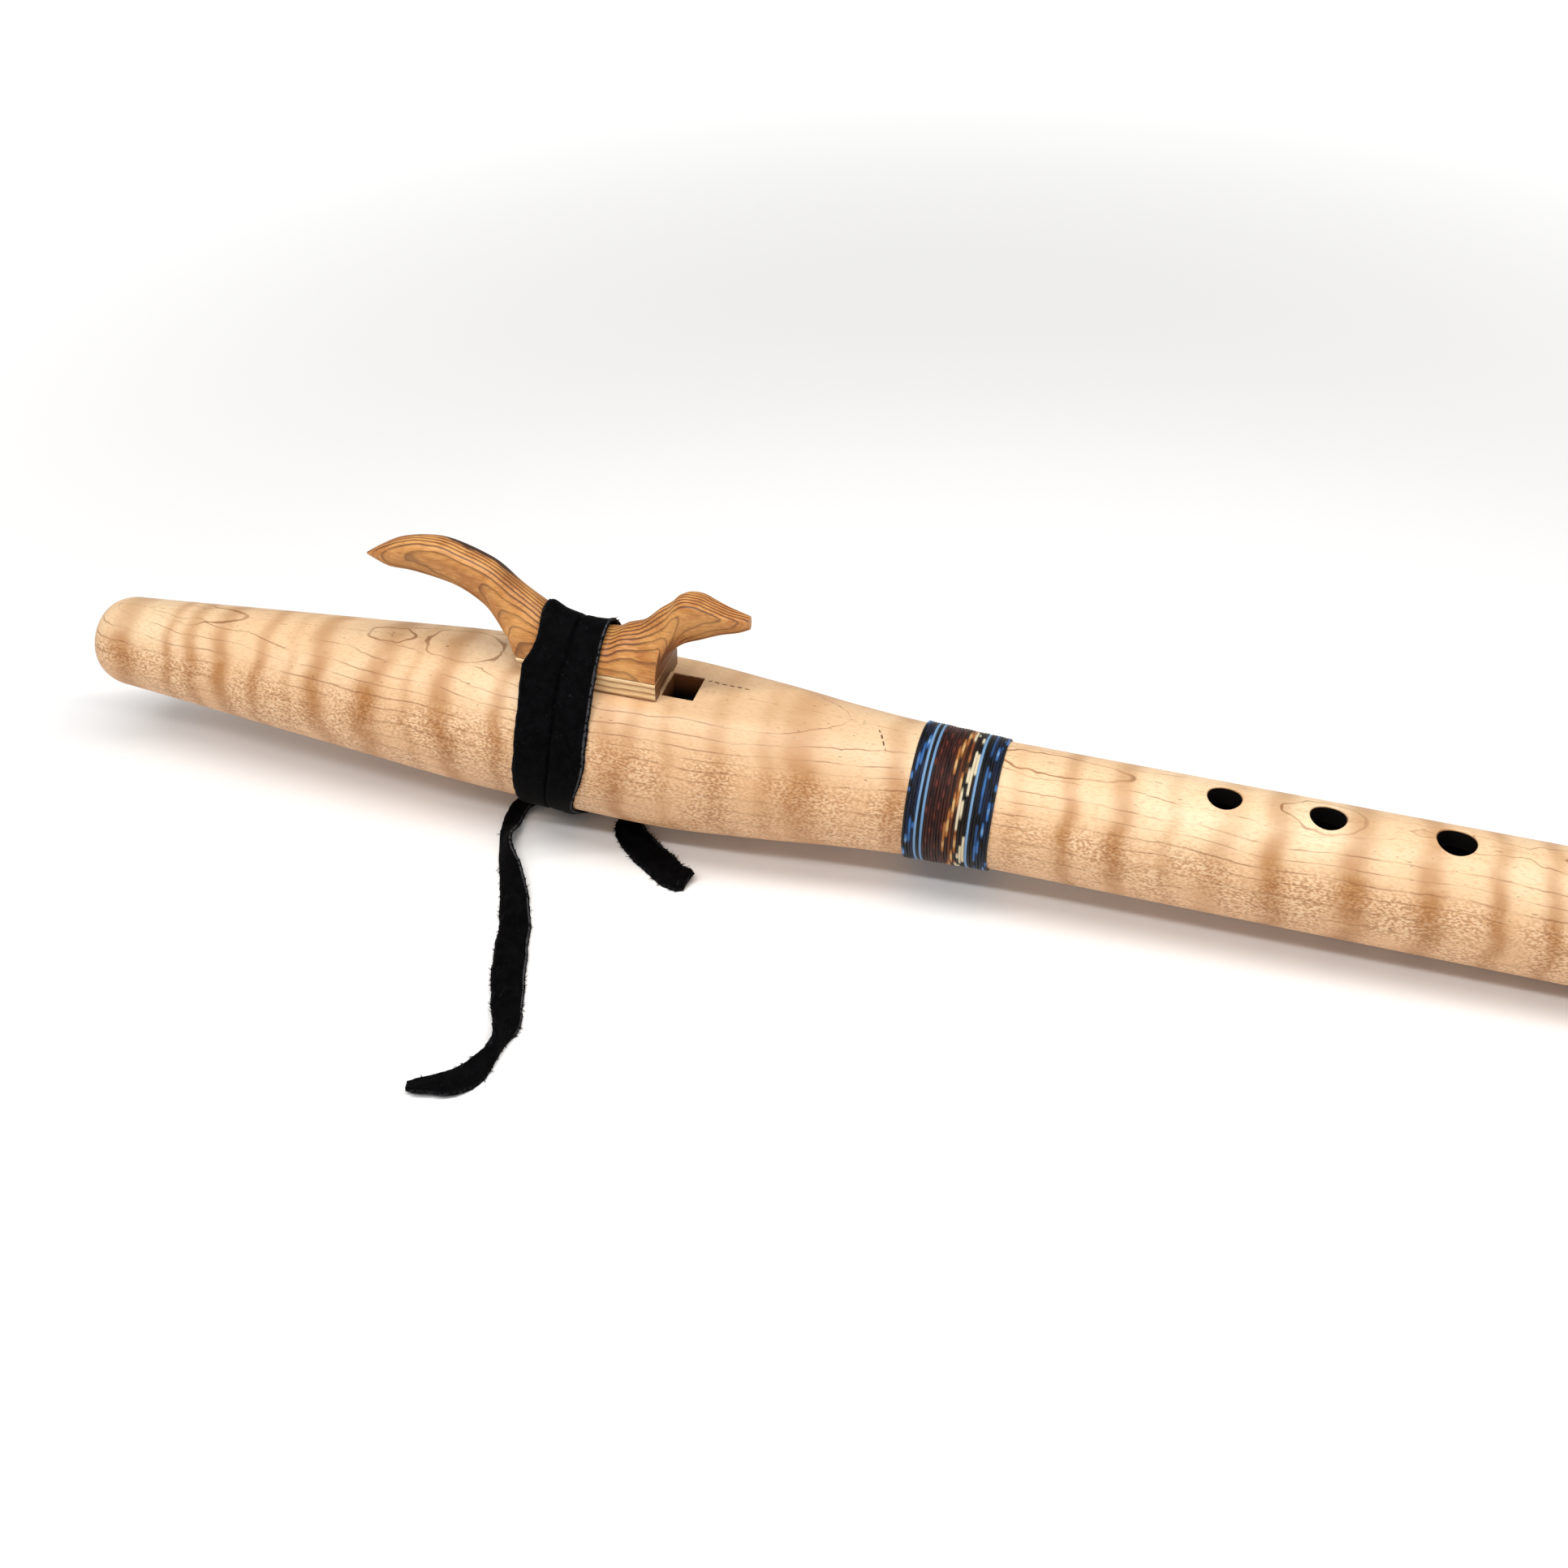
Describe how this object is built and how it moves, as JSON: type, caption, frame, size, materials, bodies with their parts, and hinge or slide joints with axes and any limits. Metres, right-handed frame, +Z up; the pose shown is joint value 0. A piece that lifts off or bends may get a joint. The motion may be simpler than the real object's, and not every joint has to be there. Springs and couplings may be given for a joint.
{
  "type": "native american style flute",
  "caption": "Wooden duct flute with a carved animal block tied over the flue by a leather lace, finger holes and a thread whipping.",
  "frame": {"origin": "on the table, below the middle of the flute", "axes": "+X towards the foot end along the flute, +Z up, the finger holes facing up"},
  "size_m": [0.5068, 0.1324, 0.0786],
  "materials": {
    "maple": "clear satin varnish",
    "spacer_wood": "satin",
    "carved_wood": "satin oil",
    "leather": "matt",
    "blue_thread": "satin",
    "brown_thread": "satin"
  },
  "bodies": {
    "flute": {"body_left_half": "maple", "body_right_half": "maple", "strap_wrap": "leather", "strap_knot": "leather", "strap_tail_long": "leather", "strap_tail_short": "leather", "blue_thread_head_side": "blue_thread", "brown_thread": "brown_thread", "blue_thread_foot_side": "blue_thread"},
    "block": {"block": "carved_wood", "spacer_plate": "spacer_wood"}
  },
  "joints": [
    {"name": "block_slide", "type": "slide", "parent": "flute", "child": "block", "axis": [0.9995, 0, -0.0329], "range_m": [-0.002, 0.0008]}
  ]
}
